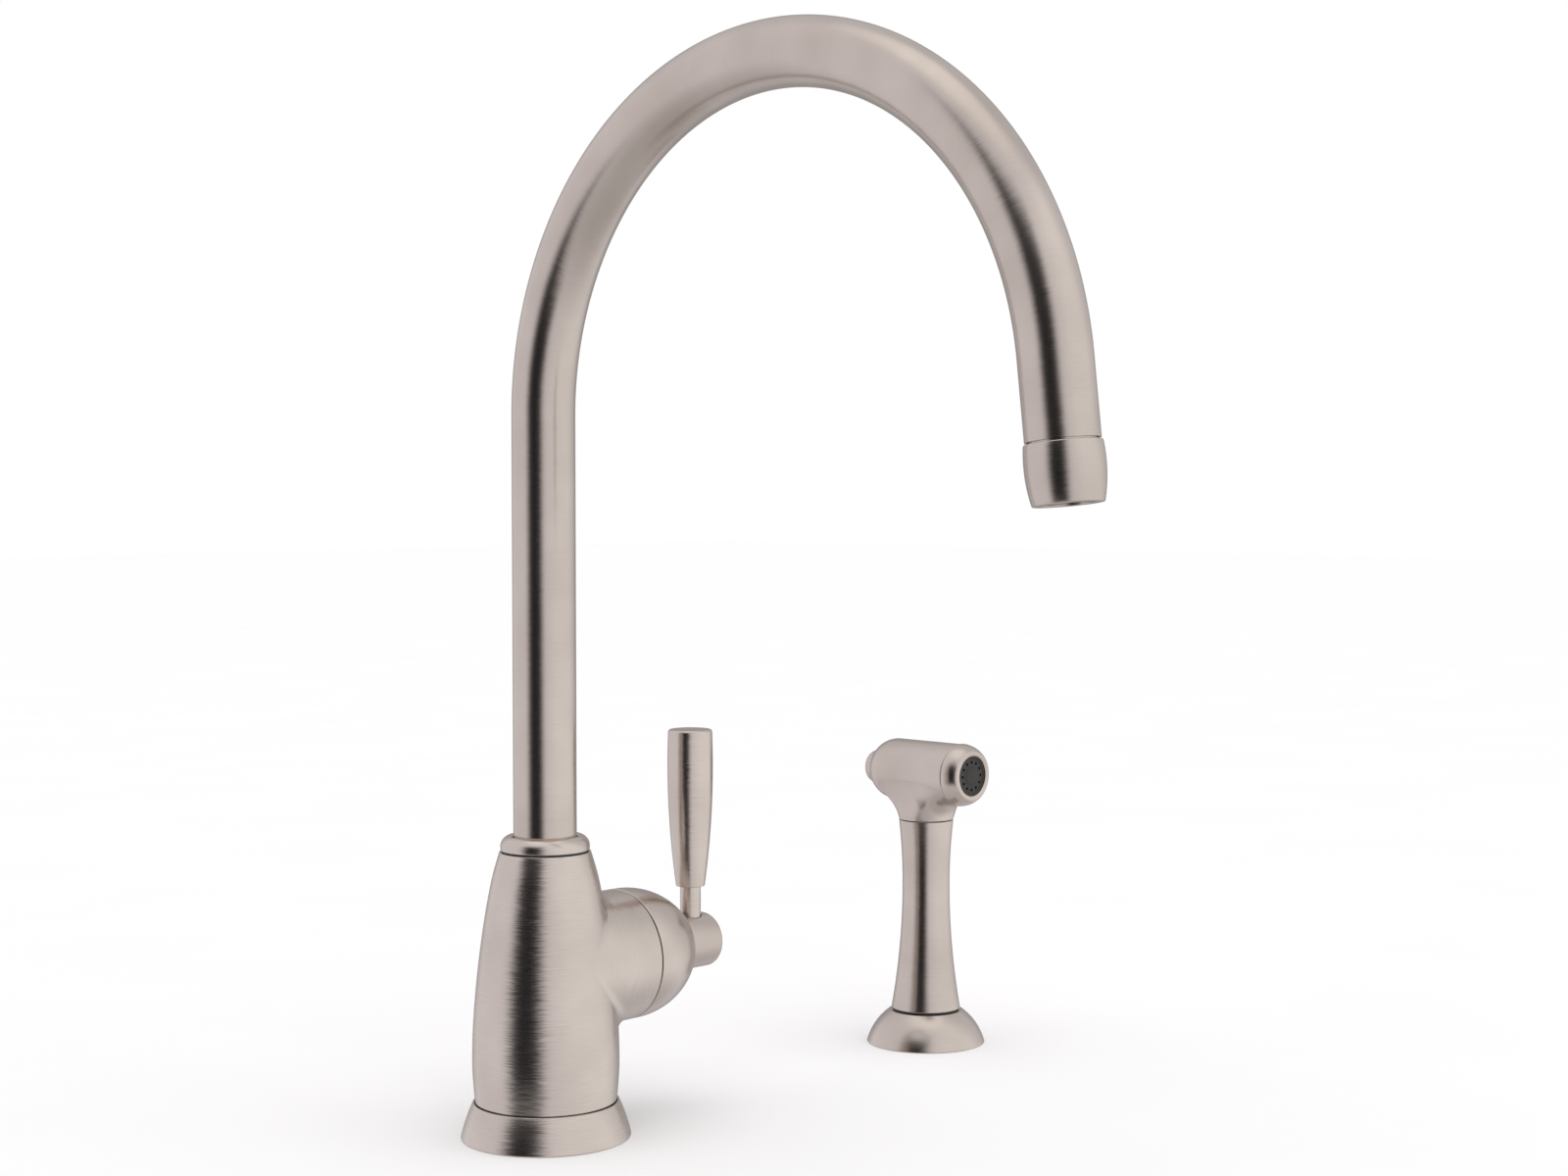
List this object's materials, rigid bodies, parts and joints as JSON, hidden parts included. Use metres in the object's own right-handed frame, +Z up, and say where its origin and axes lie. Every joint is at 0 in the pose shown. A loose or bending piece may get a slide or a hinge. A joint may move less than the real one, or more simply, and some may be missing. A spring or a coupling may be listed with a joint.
{
  "type": "side spray kitchen faucet",
  "caption": "Single-lever kitchen faucet with a swivelling C-shaped spout, a valve hub on its side, and a side spray standing in its own deck holder.",
  "frame": {"origin": "centre of the faucet's foot, on the face that rests on the deck", "axes": "+Z up, -Y along the spout towards the user, +X towards the valve hub and the side spray"},
  "size_m": [0.2594, 0.27, 0.376],
  "materials": {
    "satin_nickel": "satin",
    "brass": "satin",
    "steel": "satin",
    "ceramic": "gloss",
    "white_plastic": "matte",
    "black_plastic": "matte",
    "black_rubber": "matte"
  },
  "bodies": {
    "faucet_base": {"body": "satin_nickel", "base_flange": "satin_nickel", "base_gasket": "black_rubber", "inlet_plate": "brass", "cartridge_shell": "white_plastic", "cartridge_base": "white_plastic", "cartridge_seal": "black_rubber", "fixed_disc": "ceramic", "cartridge_nut": "brass", "spray_flange": "satin_nickel", "spray_gasket": "black_rubber", "spray_sleeve": "black_plastic"},
    "spout": {"spout_tube": "satin_nickel", "spout_collar": "satin_nickel", "spout_washer": "black_plastic", "spout_spigot": "brass", "spigot_oring_lower": "black_rubber", "spigot_oring_upper": "black_rubber", "diverter_retainer": "white_plastic", "diverter_spring": "steel", "aerator_housing": "satin_nickel", "aerator_screen": "black_plastic", "aerator_washer": "black_rubber"},
    "diverter": {"diverter_poppet": "brass"},
    "dome": {"valve_dome": "satin_nickel"},
    "mixing_disc": {"mixing_disc": "ceramic"},
    "lever": {"ball_cover": "steel", "cartridge_stem": "brass", "lever_stub": "satin_nickel", "lever_rod": "satin_nickel", "lever_grip": "satin_nickel", "lever_set_screw": "steel"},
    "hose_end": {"hose_connector": "brass", "connector_oring": "black_rubber"},
    "handset": {"spray_handle": "satin_nickel", "spray_head": "satin_nickel", "nozzle_ring": "satin_nickel", "spray_face": "black_plastic", "nozzle_seal": "black_rubber", "button_spring": "steel"},
    "trigger": {"spray_button": "satin_nickel", "spray_valve_stem": "brass", "spray_valve_seal": "black_rubber"}
  },
  "joints": [
    {"name": "spout_swivel", "type": "hinge", "parent": "faucet_base", "child": "spout", "pos_m": [0, 0, 0.1006], "axis": [0, 0, 1], "continuous": true},
    {"name": "diverter_lift", "type": "slide", "parent": "spout", "child": "diverter", "axis": [0, 0, 1], "range_m": [0, 0.003], "stiffness_N_per_m": 120, "springref_m": -0.003, "deforming": ["diverter_spring"]},
    {"name": "lever_turn", "type": "hinge", "parent": "faucet_base", "child": "dome", "pos_m": [0.038, 0, 0.0595], "axis": [1, 0, 0], "range_deg": [-45, 45]},
    {"name": "lever_tilt", "type": "hinge", "parent": "dome", "child": "lever", "pos_m": [0.038, 0, 0.0595], "axis": [0, 1, 0], "range_deg": [0, 18]},
    {"name": "disc_shift", "type": "slide", "parent": "dome", "child": "mixing_disc", "axis": [0, 0, 1], "range_m": [0, 0.0043]},
    {"name": "spray_lift", "type": "slide", "parent": "faucet_base", "child": "hose_end", "axis": [0, 0, 1], "range_m": [0, 0.25]},
    {"name": "spray_swivel", "type": "hinge", "parent": "hose_end", "child": "handset", "pos_m": [0.2052, 0, 0.0197], "axis": [0, 0, 1], "continuous": true},
    {"name": "trigger_press", "type": "slide", "parent": "handset", "child": "trigger", "axis": [0, -1, 0], "range_m": [0, 0.003], "stiffness_N_per_m": 600, "springref_m": -0.003, "deforming": ["button_spring"]}
  ],
  "couplings": [
    {"joint": "disc_shift", "follows": "lever_tilt", "m_per_rad": 0.01333}
  ]
}
